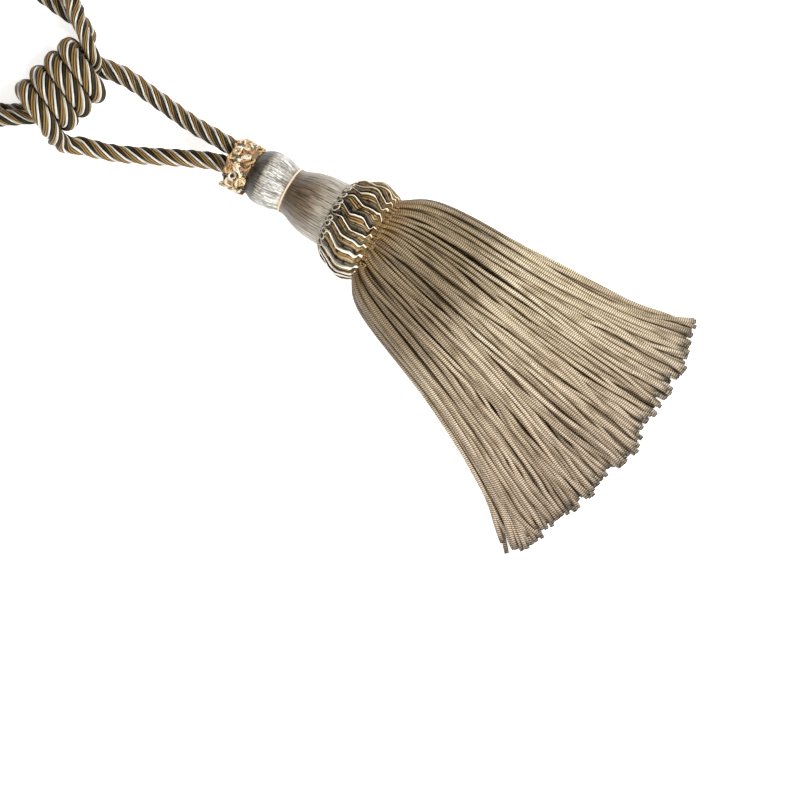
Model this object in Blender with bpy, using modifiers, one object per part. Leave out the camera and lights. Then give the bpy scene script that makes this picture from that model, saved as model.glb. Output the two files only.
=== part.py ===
"""Curtain tieback tassel lying on a flat surface.

A doubled twisted rope, the embrace, runs through a barrel knot and ends in a
plain eye on each side. The knot is four wraps of the tassel's own rope, whose
two legs run down into a looped collar. Below it are a turned mould, a domed
ruff of cords and a cut skirt. The tassel points to -Y and its top side is +Z.
Metres.
"""

import math
import random

import bmesh
import bpy
import numpy as np
from mathutils import Matrix, Vector

# Driving dimensions
ROPE_DIAMETER = 0.0092
ROPE_LAY = 0.0325            # length of one full turn of the twist
ROPE_PLIES = 4
TWIST_HAND = 1.0             # 1 for plies that turn right-handed
PLY_GROOVE = 0.20            # depth of the groove between two plies, of the rope's radius
ROPE_HEIGHT = 0.0050         # centre of a rope that lies on the surface
GAP = 0.0003                 # clearance between pieces that touch
SPAN_STEPS = 24              # points worked out between two given points of a smooth line
WELD = 0.00001               # points closer than this are one

# Plan origin: moves the whole tassel so that its own box is centred on X and Y
CENTRE = Vector((-0.0103, -0.0674, 0.0))

# Head: distances run along its axis from the foot of the mould, + to the collar
HEAD_FOOT = Vector((0.0, 0.0, 0.0223))
HEAD_SWING = math.radians(7.5)      # turned from the Y axis in plan
HEAD_DIP = math.radians(8.9)      # the collar lies lower than the ruff
MOULD_SIDES = 28
CORE_RADIUS = 0.0145
CORE_END = -0.0243
NECK_RADIUS = 0.0100
NECK_TOP = 0.0470
# columns: distance along the axis, radius of the mould
MOULD_PROFILE = (
    (0.0462, 0.0108),
    (0.0448, 0.0122),
    (0.0415, 0.0139),
    (0.0370, 0.0146),
    (0.0325, 0.0142),
    (0.0290, 0.0131),
    (0.0265, 0.0124),
    (0.0245, 0.0122),
    (0.0220, 0.0127),
    (0.0185, 0.0141),
    (0.0140, 0.0157),
    (0.0090, 0.0168),
    (0.0003, 0.0173),
)

WAIST_HEIGHT = 0.0250
WAIST_THREAD = 0.0010
THREAD_SIDES = 4
WAIST_RADIUS = 0.0130

COLLAR_FOOT = 0.0466
COLLAR_TOP = 0.0598
COLLAR_BORE = 0.0103
COLLAR_RADIUS = 0.0126
COLLAR_LOOPS = 12
COLLAR_ROWS = 8
COLLAR_ROUNDING = 0.0012     # how much narrower the collar is at its top and its foot
LOOP_RELIEF = 0.0011

RUFF_CORDS = 30
RUFF_SLANT = 1.6             # cord pitches that a cord moves sideways on its way down
CORD_RELIEF = 0.0011
RUFF_BORE = 0.0148
RUFF_MOUTH = 0.0230
# columns: distance along the axis, radius at the top of the cords
RUFF_PROFILE = (
    (0.0000, 0.0178),
    (-0.0010, 0.0197),
    (-0.0040, 0.0226),
    (-0.0080, 0.0250),
    (-0.0125, 0.0264),
    (-0.0175, 0.0268),
    (-0.0225, 0.0262),
    (-0.0258, 0.0247),
    (-0.0265, 0.0238),
)

# Skirt
STRANDS_ACROSS = 38
STRAND_ROWS = 5
BACKING_RADIUS = 0.0221
BACKING_TOP = -0.0246
BACKING_FOOT = -0.0273
BACKING_SIDES = 24
ROOT_RADIUS = 0.0206
ROOT_DEPTH = -0.0260
STAGGER = 0.22               # how far odd and even rows stand aside, of the pitch across
STRAND_FILL = 0.70           # strand width, of the pitch across
ROOT_FILL = 0.50             # the same where the strands leave the backing
ROOT_WIDTH = 0.93            # half width of the rows of roots, of the radius that they fill
ROW_FILL = 0.74              # strand height, of the pitch between rows
# columns: y, centre x, half width, lowest z, thickness at the middle, thickness at the sides
SKIRT_SECTIONS = (
    (-0.0425, 0.0030, 0.0335, 0.0020, 0.0380, 0.0260),
    (-0.1000, -0.0003, 0.0468, 0.0000, 0.0215, 0.0118),
    (-0.1500, -0.0058, 0.0622, 0.0000, 0.0160, 0.0090),
    (-0.1940, -0.0103, 0.0755, 0.0000, 0.0120, 0.0075),
)
END_ARC = 2.5                # how fast the cut ends draw back to the sides, 1/m
END_MIDDLE = 0.0020         # x of the longest strand
END_UNEVEN = (-0.0018, 0.0030)      # the least and the most that a strand is cut short

# Knot: p runs along the barrel, q across it, z up
KNOT_CENTRE = Vector((-0.0268, 0.1483, 0.0151))
KNOT_TURN = math.radians(-8.6)
WRAP_PITCH = 0.0101
WRAP_HALF_WIDTH = 0.0139
WRAP_HALF_HEIGHT = 0.0099
WRAPS = 4
WRAP_SHIFT = -0.0010         # from the middle of the knot to the middle of the wraps
WRAP_FIRST = -70.0           # degrees round the barrel: 0 is away from the tassel, 90 the top
WRAP_LAST = 1190.0
WRAP_STEP = 20.0
SLANT_ARC = math.radians(300.0)     # part of a wrap over which it slants to the next place
SQUEEZE = 0.76                      # rope diameter inside the knot, of its full diameter
SQUEEZED_TO = 0.0240                # distance from the knot's middle at which a rope swells
SQUEEZE_FADE = 0.0140               # and over which it reaches its full diameter

# Embrace: the middle line between the doubled ropes of each arm, x and y
ARM_SPACING = 0.0097
ARM_STEP = 0.0060
EYE_RADIUS = 0.0120
EYE_LENGTH = 0.0520
EYE_TURN = (30.0, 60.0, 90.0, 120.0, 150.0)     # degrees round the end of the eye
UPPER_ARM = (
    (0.0062, 0.198), (0.0105, 0.214), (0.0205, 0.247), (0.0275, 0.288),
    (0.0240, 0.330), (0.0070, 0.369), (-0.0240, 0.397),
)
LOWER_ARM = (
    (-0.0800, 0.1900), (-0.0910, 0.2045), (-0.1080, 0.2320), (-0.1190, 0.2680),
    (-0.1190, 0.3070), (-0.1070, 0.3480), (-0.0850, 0.3800), (-0.0560, 0.4000),
)
# Ropes between the knot's middle and the arm, in the knot's p, q and z
UPPER_ARM_ROPE_OVER = (
    (0.0003, -0.0042, 0.0151), (0.0130, -0.0042, 0.0151), (0.0172, -0.0018, 0.0182),
    (0.0192, 0.0040, 0.0212), (0.0216, 0.0095, 0.0210), (0.0243, 0.0160, 0.0184),
    (0.0270, 0.0220, 0.0158), (0.0292, 0.0267, 0.0140), (0.0304, 0.0320, 0.0122),
    (0.0316, 0.0385, 0.0098),
)
UPPER_ARM_ROPE_UNDER = (
    (0.0003, 0.0042, 0.0151), (0.0130, 0.0042, 0.0151), (0.0190, 0.0060, 0.0131),
    (0.0230, 0.0088, 0.0099), (0.0252, 0.0134, 0.0068), (0.0259, 0.0185, 0.0052),
    (0.0254, 0.0235, 0.0049), (0.0242, 0.0300, 0.0049), (0.0232, 0.0365, 0.0049),
)
LOWER_ARM_ROPE_OVER = (
    (-0.0003, -0.0042, 0.0151), (-0.0130, -0.0042, 0.0151), (-0.0200, -0.0024, 0.0158),
    (-0.0262, 0.0008, 0.0168), (-0.0328, 0.0072, 0.0157), (-0.0389, 0.0130, 0.0140),
    (-0.0444, 0.0173, 0.0125), (-0.0502, 0.0210, 0.0103), (-0.0562, 0.0248, 0.0077),
)
LOWER_ARM_ROPE_UNDER = (
    (-0.0003, 0.0042, 0.0151), (-0.0130, 0.0042, 0.0151), (-0.0200, 0.0050, 0.0145),
    (-0.0256, 0.0071, 0.0105), (-0.0306, 0.0105, 0.0064), (-0.0360, 0.0155, 0.0050),
    (-0.0402, 0.0212, 0.0049), (-0.0440, 0.0271, 0.0049), (-0.0480, 0.0324, 0.0049),
)

# Legs, from the knot down to the collar: x, y, z
RIGHT_LEG = (
    (-0.0098, 0.1385, 0.0049), (-0.0076, 0.1310, 0.0049), (-0.0066, 0.1220, 0.0049),
    (-0.0065, 0.1120, 0.0049), (-0.0062, 0.1020, 0.0053), (-0.0061, 0.0920, 0.0065),
    (-0.0055, 0.0820, 0.0084), (-0.0042, 0.0720, 0.0106),
)
LEFT_LEG = (
    (-0.0497, 0.1270, 0.0049), (-0.0464, 0.1187, 0.0049), (-0.0412, 0.1080, 0.0049),
    (-0.0346, 0.0975, 0.0054), (-0.0278, 0.0870, 0.0066), (-0.0212, 0.0768, 0.0086),
    (-0.0160, 0.0680, 0.0108),
)
# The last wrap's way from the front of the knot down to the left leg, in p, q and z
LEFT_TUCK = (
    (-0.0229, -0.0085, 0.0222), (-0.0241, -0.0124, 0.0174), (-0.0253, -0.0148, 0.0122),
    (-0.0254, -0.0170, 0.0082), (-0.0244, -0.0206, 0.0058),
)
LEG_SPREAD = 0.0050          # each leg's distance from the head's axis in the collar
LEG_END = NECK_TOP + GAP
LEG_ABOVE = COLLAR_TOP + 0.0040     # a leg is straight from here, above the collar
LEG_INSIDE = COLLAR_TOP - 0.0030    # through here, inside it

COLOURS = {
    "rope": (0.42, 0.33, 0.19, 1.0),
    "satin": (0.46, 0.42, 0.34, 1.0),
    "gold": (0.60, 0.40, 0.16, 1.0),
    "ruff": (0.50, 0.40, 0.26, 1.0),
    "skirt": (0.44, 0.37, 0.24, 1.0),
}


def clear_scene():
    """Remove every object that the file opens with."""
    for item in list(bpy.data.objects):
        bpy.data.objects.remove(item)


def thread_material(name, roughness):
    """A viscose yarn finish in one of the named colours."""
    material = bpy.data.materials.new(name)
    material.use_nodes = True
    shader = material.node_tree.nodes["Principled BSDF"]
    shader.inputs["Base Color"].default_value = COLOURS[name]
    shader.inputs["Roughness"].default_value = roughness
    shader.inputs["Metallic"].default_value = 0.0
    return material


def add_piece(name, mesh, material):
    """Put a finished mesh into the tassel's collection under its own name."""
    mesh.name = name
    mesh.materials.clear()
    mesh.materials.append(material)
    piece = bpy.data.objects.new(name, mesh)
    bpy.data.collections["tieback_tassel"].objects.link(piece)
    return piece


def head_frame():
    """Matrix of the head: its +Z runs from the foot of the mould to the collar."""
    swing = Matrix.Rotation(HEAD_SWING, 4, "Z")
    lay_down = Matrix.Rotation(-math.pi / 2.0 - HEAD_DIP, 4, "X")
    return Matrix.Translation(HEAD_FOOT - CENTRE) @ swing @ lay_down


def knot_point(p, q, z):
    """World place of a point given along the barrel, across it and up from the surface."""
    along = Vector((math.cos(KNOT_TURN), math.sin(KNOT_TURN), 0.0))
    across = Vector((-math.sin(KNOT_TURN), math.cos(KNOT_TURN), 0.0))
    middle = Vector((KNOT_CENTRE.x, KNOT_CENTRE.y, 0.0)) - CENTRE
    return middle + along * p + across * q + Vector((0.0, 0.0, z))


def plan_point(x, y, z):
    """World place of a point given in the plan's own x and y."""
    return Vector((x, y, z)) - CENTRE


def smooth_line(points, step):
    """Points every step along the Catmull-Rom curve through the given points."""
    knots = np.array([tuple(point) for point in points])
    knots = np.vstack([2.0 * knots[0] - knots[1], knots, 2.0 * knots[-1] - knots[-2]])
    t = np.linspace(0.0, 1.0, SPAN_STEPS, endpoint=False)[:, None]
    spans = []
    for a, b, c, d in zip(knots, knots[1:], knots[2:], knots[3:]):
        cubic = (3.0 * (b - c) + d - a) * t**3
        square = (2.0 * a - 5.0 * b + 4.0 * c - d) * t**2
        spans.append(0.5 * (2.0 * b + (c - a) * t + square + cubic))
    line = np.vstack(spans + [knots[-2:-1]])
    travelled = np.append(0.0, np.cumsum(np.linalg.norm(np.diff(line, axis=0), axis=1)))
    count = max(2, round(travelled[-1] / step) + 1)
    stations = np.linspace(0.0, travelled[-1], count)
    return np.column_stack([np.interp(stations, travelled, line[:, k]) for k in range(3)])


def rope_section():
    """The rope's cross-section as a hidden curve: one lobe for each ply."""
    curve = bpy.data.curves.new("rope_section", "CURVE")
    curve.dimensions = "2D"
    spline = curve.splines.new("POLY")
    corners = 2 * ROPE_PLIES
    spline.points.add(corners - 1)
    for k, point in enumerate(spline.points):
        radius = ROPE_DIAMETER / 2.0 * (1.0 if k % 2 == 0 else 1.0 - PLY_GROOVE)
        angle = 2.0 * math.pi * k / corners
        point.co = (radius * math.cos(angle), radius * math.sin(angle), 0.0, 1.0)
    spline.use_cyclic_u = True
    section = bpy.data.objects.new("rope_section", curve)
    section.hide_render = True
    section.display_type = "WIRE"
    bpy.data.collections["guides"].objects.link(section)
    return section


def in_knot(place):
    """How far inside the knot's ends a place lies: 1 well inside, 0 well outside."""
    away = (Vector(place) - knot_point(0.0, 0.0, 0.0)).to_2d().length
    inside = 1.0 - (away - SQUEEZED_TO) / SQUEEZE_FADE
    return min(1.0, max(0.0, inside))


def twisted_rope(name, route, section, squeezed, material):
    """A rope along a route, its plies turning right-handed as the route goes on."""
    line = smooth_line(route, ROPE_LAY / (2 * ROPE_PLIES))
    curve = bpy.data.curves.new(name, "CURVE")
    curve.dimensions = "3D"
    curve.bevel_mode = "OBJECT"
    curve.bevel_object = section
    curve.use_fill_caps = True
    curve.twist_mode = "MINIMUM"
    spline = curve.splines.new("POLY")
    spline.points.add(len(line) - 1)
    for k, (point, place) in enumerate(zip(spline.points, line)):
        point.co = (*place, 1.0)
        point.tilt = TWIST_HAND * math.pi / ROPE_PLIES * k
        if squeezed:
            point.radius = 1.0 - (1.0 - SQUEEZE) * in_knot(place)
    guide = bpy.data.objects.new(name + "_line", curve)
    bpy.data.collections["guides"].objects.link(guide)
    bpy.context.view_layer.update()
    solid = guide.evaluated_get(bpy.context.evaluated_depsgraph_get())
    mesh = bpy.data.meshes.new_from_object(solid)
    bpy.data.objects.remove(guide)
    weld_and_face_out(mesh)
    return add_piece(name, mesh, material)


def weld_and_face_out(mesh):
    """Join points that share a place and turn every face outwards."""
    shape = bmesh.new()
    shape.from_mesh(mesh)
    bmesh.ops.remove_doubles(shape, verts=shape.verts, dist=WELD)
    bmesh.ops.recalc_face_normals(shape, faces=shape.faces)
    shape.to_mesh(mesh)
    shape.free()


def bight(middle):
    """Both sides of an arm's doubled rope and the eye at its end, from the middle line."""
    line = smooth_line([plan_point(x, y, ROPE_HEIGHT) for x, y in middle], ARM_STEP)
    along = np.gradient(line, axis=0)
    along /= np.linalg.norm(along, axis=1)[:, None]
    left = np.column_stack([-along[:, 1], along[:, 0], np.zeros(len(line))])
    steps = np.append(0.0, np.cumsum(np.linalg.norm(np.diff(line, axis=0), axis=1)))
    to_tip = steps[-1] - steps
    opening = np.clip(1.0 - (to_tip - EYE_RADIUS) / (EYE_LENGTH - EYE_RADIUS), 0.0, 1.0)
    opening = opening**2 * (3.0 - 2.0 * opening)
    half = ARM_SPACING / 2.0 + (EYE_RADIUS - ARM_SPACING / 2.0) * opening
    body = to_tip > EYE_RADIUS
    outward = line + left * half[:, None]
    inward = line - left * half[:, None]
    turn_centre = line[body][-1]
    forward = along[-1]
    side = left[-1]
    turn = [
        turn_centre + EYE_RADIUS * (side * math.cos(angle) + forward * math.sin(angle))
        for angle in np.radians(EYE_TURN)
    ]
    return list(outward[body]), turn, list(inward[body])[::-1]


def arm_route(over, under, middle):
    """One arm: out of the knot on one rope, round the eye and back on the other."""
    left_side, turn, right_side = bight(middle)
    start = [knot_point(*place) for place in over]
    finish = [knot_point(*place) for place in under]
    if (start[-1] - Vector(left_side[0])).length > (start[-1] - Vector(right_side[-1])).length:
        start, finish = finish, start
    return start + left_side + turn + right_side + finish[::-1]


def wrap_points():
    """The four wraps: straight under the knot, slanting by one pitch over it."""
    first = (WRAPS - 1) / 2.0 * WRAP_PITCH + WRAP_SHIFT
    places = []
    for angle in np.arange(WRAP_FIRST, WRAP_LAST + WRAP_STEP, WRAP_STEP):
        turn = math.radians(angle)
        whole = math.floor((angle + 90.0) / 360.0)
        within = math.radians(angle - 360.0 * whole) - math.pi / 2.0
        slant = min(1.0, max(0.0, within / SLANT_ARC + 0.5))
        p = first - WRAP_PITCH * (whole + slant)
        q = WRAP_HALF_WIDTH * math.cos(turn)
        z = KNOT_CENTRE.z + WRAP_HALF_HEIGHT * math.sin(turn)
        places.append(knot_point(p, q, z))
    return places


def leg_entry(side, frame):
    """Where a leg runs into the collar: a point above it, one at its rim, and its end."""
    heights = (LEG_ABOVE, LEG_INSIDE, LEG_END)
    return [frame @ Vector((side * LEG_SPREAD, 0.0, height)) for height in heights]


def tassel_route(frame):
    """Right leg, four wraps and left leg as one rope."""
    right = [plan_point(*place) for place in RIGHT_LEG]
    left = [plan_point(*place) for place in LEFT_LEG]
    tuck = [knot_point(*place) for place in LEFT_TUCK]
    route = leg_entry(1.0, frame)[::-1] + right[::-1] + wrap_points() + tuck + left
    return route + leg_entry(-1.0, frame)


def turned(name, profile, sides, frame, material):
    """A ring or solid turned about the head's axis from a closed or open outline."""
    mesh = bpy.data.meshes.new(name)
    count = len(profile)
    edges = [(k, k + 1) for k in range(count - 1)]
    closed = profile[0][1] > 0.0
    if closed:
        edges.append((count - 1, 0))
    mesh.from_pydata([(radius, 0.0, height) for height, radius in profile], edges, [])
    piece = add_piece(name, mesh, material)
    screw = piece.modifiers.new("turned", "SCREW")
    screw.steps = sides
    screw.render_steps = sides
    screw.use_merge_vertices = True
    screw.merge_threshold = WELD
    screw.use_normal_calculate = False
    piece.matrix_world = frame
    return piece


def mould(frame, material):
    """Bulb, waist and bell over a plain core that carries the ruff and the skirt."""
    neck = ((NECK_TOP, 0.0), (NECK_TOP, NECK_RADIUS), (MOULD_PROFILE[0][0], NECK_RADIUS))
    foot = ((MOULD_PROFILE[-1][0], CORE_RADIUS), (CORE_END, CORE_RADIUS), (CORE_END, 0.0))
    return turned("mould", neck + MOULD_PROFILE + foot, MOULD_SIDES, frame, material)


def waist_thread(frame, material):
    """A single gold thread tied round the waist."""
    outline = []
    for k in range(THREAD_SIDES):
        angle = -2.0 * math.pi * k / THREAD_SIDES
        height = WAIST_HEIGHT + WAIST_THREAD / 2.0 * math.sin(angle)
        outline.append((height, WAIST_RADIUS + WAIST_THREAD / 2.0 * math.cos(angle)))
    return turned("waist_thread", tuple(outline), MOULD_SIDES, frame, material)


def lumpy_ring(name, rings, frame, material):
    """A closed ring from rows of points round the head's axis, each row a list."""
    mesh = bpy.data.meshes.new(name)
    rows = len(rings)
    count = len(rings[0])
    points = [point for ring in rings for point in ring]
    faces = []
    for j in range(rows):
        for k in range(count):
            here = j * count + k
            beside = j * count + (k + 1) % count
            below = (j + 1) % rows * count
            faces.append((here, beside, below + (k + 1) % count, below + k))
    mesh.from_pydata(points, [], faces)
    weld_and_face_out(mesh)
    piece = add_piece(name, mesh, material)
    piece.matrix_world = frame
    return piece


def ring_points(height, count, radius_at):
    """One row of points at a height, with the radius that a function gives each angle."""
    row = []
    for k in range(count):
        angle = 2.0 * math.pi * k / count
        radius = radius_at(angle)
        row.append((radius * math.cos(angle), radius * math.sin(angle), height))
    return row


def collar(frame, material):
    """Two staggered rows of cord loops round the neck and the foot of the legs."""
    count = 4 * COLLAR_LOOPS
    rings = []
    for j in range(COLLAR_ROWS + 1):
        share = j / COLLAR_ROWS
        height = COLLAR_TOP + (COLLAR_FOOT - COLLAR_TOP) * share
        body = COLLAR_RADIUS - COLLAR_ROUNDING * abs(2.0 * share - 1.0) ** 3
        tier = abs(math.sin(2.0 * math.pi * share))
        shift = math.pi / 2.0 if share > 0.5 else 0.0

        def radius_at(angle, body=body, tier=tier, shift=shift):
            loop = abs(math.cos(COLLAR_LOOPS / 2.0 * angle + shift))
            return body + LOOP_RELIEF * tier * loop

        rings.append(ring_points(height, count, radius_at))
    for height in (COLLAR_FOOT, COLLAR_TOP):
        rings.append(ring_points(height, count, lambda angle: COLLAR_BORE))
    return lumpy_ring("collar", rings, frame, material)


def ruff(frame, material):
    """Cords side by side over a dome, with a flat where the ruff rests."""
    count = 2 * RUFF_CORDS
    rings = []
    for height, radius in RUFF_PROFILE:
        share = height / RUFF_PROFILE[-1][0]
        lean = RUFF_SLANT * share

        def radius_at(angle, radius=radius, lean=lean):
            wave = 0.5 + 0.5 * math.cos(RUFF_CORDS * angle)
            return radius - CORD_RELIEF * (1.0 - wave)

        turn = 2.0 * math.pi * lean / RUFF_CORDS
        spin = Matrix.Rotation(turn, 3, "Z")
        rings.append([tuple(spin @ Vector(p)) for p in ring_points(height, count, radius_at)])
    end = 2.0 * math.pi * RUFF_SLANT / RUFF_CORDS
    inner = (
        (RUFF_PROFILE[-1][0], RUFF_MOUTH, end),
        (CORE_END, RUFF_MOUTH, end),
        (CORE_END, RUFF_BORE, end),
        (RUFF_PROFILE[0][0], RUFF_BORE, 0.0),
    )
    for height, radius, turn in inner:
        spin = Matrix.Rotation(turn, 3, "Z")
        row = ring_points(height, count, lambda angle, radius=radius: radius)
        rings.append([tuple(spin @ Vector(p)) for p in row])
    piece = lumpy_ring("ruff", rings, frame, material)
    flatten_underside(piece)
    return piece


def flatten_underside(piece):
    """Cut a piece off level with the surface and close it with one flat face."""
    shape = bmesh.new()
    shape.from_mesh(piece.data)
    shape.transform(piece.matrix_world)
    everything = shape.verts[:] + shape.edges[:] + shape.faces[:]
    cut = bmesh.ops.bisect_plane(
        shape, geom=everything, plane_co=(0, 0, 0), plane_no=(0, 0, -1), clear_outer=True
    )
    rim = [item for item in cut["geom_cut"] if isinstance(item, bmesh.types.BMEdge)]
    bmesh.ops.holes_fill(shape, edges=rim)
    bmesh.ops.remove_doubles(shape, verts=shape.verts, dist=2.0 * WELD)
    bmesh.ops.recalc_face_normals(shape, faces=shape.faces)
    shape.to_mesh(piece.data)
    shape.free()
    piece.matrix_world = Matrix.Identity(4)


def strand_triangle(left, right, base_z, top_z, y):
    """A strand's cross-section: its flat base and its ridge."""
    middle = (left + right) / 2.0
    return [(left, y, base_z), (right, y, base_z), (middle, y, top_z)]


def strand_sections(across, row, frame, shorter):
    """The cross-sections of one strand from its root to its cut end."""
    pitch = 2.0 / STRANDS_ACROSS
    stagger = STAGGER if row % 2 else -STAGGER
    mid = -1.0 + pitch * (across + 0.5 + stagger)
    half = pitch * STRAND_FILL / 2.0
    low = row / STRAND_ROWS
    high = (row + ROW_FILL) / STRAND_ROWS

    unshifted = -1.0 + pitch * (across + 0.5)
    root_height = ROOT_RADIUS * math.sqrt(1.0 - (ROOT_WIDTH * unshifted) ** 2)

    def root(offset, level):
        x = ROOT_RADIUS * ROOT_WIDTH * (unshifted + offset)
        return frame @ Vector((x, -root_height * (2.0 * level - 1.0), ROOT_DEPTH))

    slim = pitch * ROOT_FILL / 2.0
    rings = [[root(-slim, low), root(slim, low), root(0.0, high)]]
    for y, centre, width, floor, thick_middle, thick_side in SKIRT_SECTIONS:
        thick = thick_middle + (thick_side - thick_middle) * mid * mid
        x = centre + width * mid
        if y == SKIRT_SECTIONS[-1][0]:
            y += END_ARC * (x - END_MIDDLE) ** 2 + shorter
        ring = strand_triangle(
            centre + width * (mid - half) - CENTRE.x,
            centre + width * (mid + half) - CENTRE.x,
            floor + thick * low,
            floor + thick * high,
            y - CENTRE.y,
        )
        rings.append([Vector(point) for point in ring])
    return rings


def skirt(frame, material):
    """Cut strands in rows, their roots fused into a round backing under the ruff."""
    chance = random.Random(7)
    points = []
    faces = []
    for row in range(STRAND_ROWS):
        for across in range(STRANDS_ACROSS):
            rings = strand_sections(across, row, frame, chance.uniform(*END_UNEVEN))
            base = len(points)
            points += [point for ring in rings for point in ring]
            faces.append((base, base + 1, base + 2))
            for j in range(len(rings) - 1):
                for k in range(3):
                    here = base + 3 * j + k
                    beside = base + 3 * j + (k + 1) % 3
                    faces.append((here, here + 3, beside + 3, beside))
            last = base + 3 * (len(rings) - 1)
            faces.append((last + 2, last + 1, last))
    mesh = bpy.data.meshes.new("skirt")
    mesh.from_pydata(points, [], faces)
    weld_and_face_out(mesh)
    piece = add_piece("skirt", mesh, material)

    backing_mesh = bpy.data.meshes.new("backing")
    shape = bmesh.new()
    middle = (BACKING_TOP + BACKING_FOOT) / 2.0
    bmesh.ops.create_cone(
        shape,
        cap_ends=True,
        segments=BACKING_SIDES,
        radius1=BACKING_RADIUS,
        radius2=BACKING_RADIUS,
        depth=BACKING_TOP - BACKING_FOOT,
        matrix=frame @ Matrix.Translation((0.0, 0.0, middle)),
    )
    shape.to_mesh(backing_mesh)
    shape.free()
    backing = bpy.data.objects.new("backing", backing_mesh)
    backing.hide_render = True
    backing.display_type = "WIRE"
    bpy.data.collections["guides"].objects.link(backing)
    fuse = piece.modifiers.new("fuse_roots", "BOOLEAN")
    fuse.operation = "UNION"
    fuse.object = backing
    return piece


clear_scene()
for collection_name in ("tieback_tassel", "guides"):
    bpy.context.scene.collection.children.link(bpy.data.collections.new(collection_name))

rope_finish = thread_material("rope", 0.55)
satin_finish = thread_material("satin", 0.40)
gold_finish = thread_material("gold", 0.45)
ruff_finish = thread_material("ruff", 0.55)
skirt_finish = thread_material("skirt", 0.60)

head = head_frame()
lobes = rope_section()
upper_route = arm_route(UPPER_ARM_ROPE_OVER, UPPER_ARM_ROPE_UNDER, UPPER_ARM)
lower_route = arm_route(LOWER_ARM_ROPE_OVER, LOWER_ARM_ROPE_UNDER, LOWER_ARM)
twisted_rope("embrace_upper", upper_route, lobes, True, rope_finish)
twisted_rope("embrace_lower", lower_route, lobes, True, rope_finish)
twisted_rope("tassel_rope", tassel_route(head), lobes, False, rope_finish)
mould(head, satin_finish)
waist_thread(head, gold_finish)
collar(head, ruff_finish)
ruff(head, ruff_finish)
skirt(head, skirt_finish)
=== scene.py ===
"""Curtain tieback tassel, lying flat: yarns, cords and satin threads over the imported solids."""

import math

import bpy
import numpy as np
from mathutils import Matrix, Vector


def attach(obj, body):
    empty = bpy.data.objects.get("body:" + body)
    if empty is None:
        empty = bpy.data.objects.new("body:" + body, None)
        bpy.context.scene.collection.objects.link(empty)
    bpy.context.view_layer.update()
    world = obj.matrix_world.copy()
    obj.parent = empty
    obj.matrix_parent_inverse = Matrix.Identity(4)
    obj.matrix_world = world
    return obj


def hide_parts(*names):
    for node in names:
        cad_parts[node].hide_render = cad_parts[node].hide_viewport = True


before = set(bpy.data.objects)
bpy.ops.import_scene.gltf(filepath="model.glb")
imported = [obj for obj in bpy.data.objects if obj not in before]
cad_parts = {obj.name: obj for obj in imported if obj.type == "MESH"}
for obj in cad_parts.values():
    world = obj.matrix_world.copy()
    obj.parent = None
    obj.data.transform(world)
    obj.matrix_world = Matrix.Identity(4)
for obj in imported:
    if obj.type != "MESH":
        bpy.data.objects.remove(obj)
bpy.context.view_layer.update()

# ------------------------------------------------------------------ table, light and camera
# A pale table that glows a little, as a light table does, between two softboxes in a white room.
# The camera hangs straight above, turned so that the tassel lies across the frame.


def linear(colour):
    """Linear red, green, blue and alpha of a hex colour: a channel c becomes
    ((c + 0.055) / 1.055)^2.4, or c / 12.92 where it is very dark."""
    channels = np.array([int(colour[k : k + 2], 16) for k in (1, 3, 5)]) / 255.0
    curved = ((channels + 0.055) / 1.055) ** 2.4
    return (*np.where(channels > 0.04045, curved, channels / 12.92).tolist(), 1.0)


def add_node(tree, kind, values=(), links=(), stops=(), **settings):
    """Add one node, set its properties and sockets, fill its ramp and link what feeds it."""
    node = tree.nodes.new(kind)
    for name, value in settings.items():
        setattr(node, name, value)
    for socket, value in dict(values).items():
        node.inputs[socket].default_value = value
    for socket, source in dict(links).items():
        tree.links.new(source, node.inputs[socket])
    for k, (place, colour) in enumerate(stops):
        ramp = node.color_ramp.elements
        stop = ramp[k] if k < 2 else ramp.new(place)
        stop.position = place
        stop.color = linear(colour)
    return node


def new_material(name):
    """An empty node material: its tree, its shader and the sockets of its texture coordinates."""
    material = bpy.data.materials.new(name)
    material.use_nodes = True
    tree = material.node_tree
    shader = tree.nodes["Principled BSDF"]
    where = add_node(tree, "ShaderNodeTexCoord")
    return material, tree, shader, where


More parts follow.
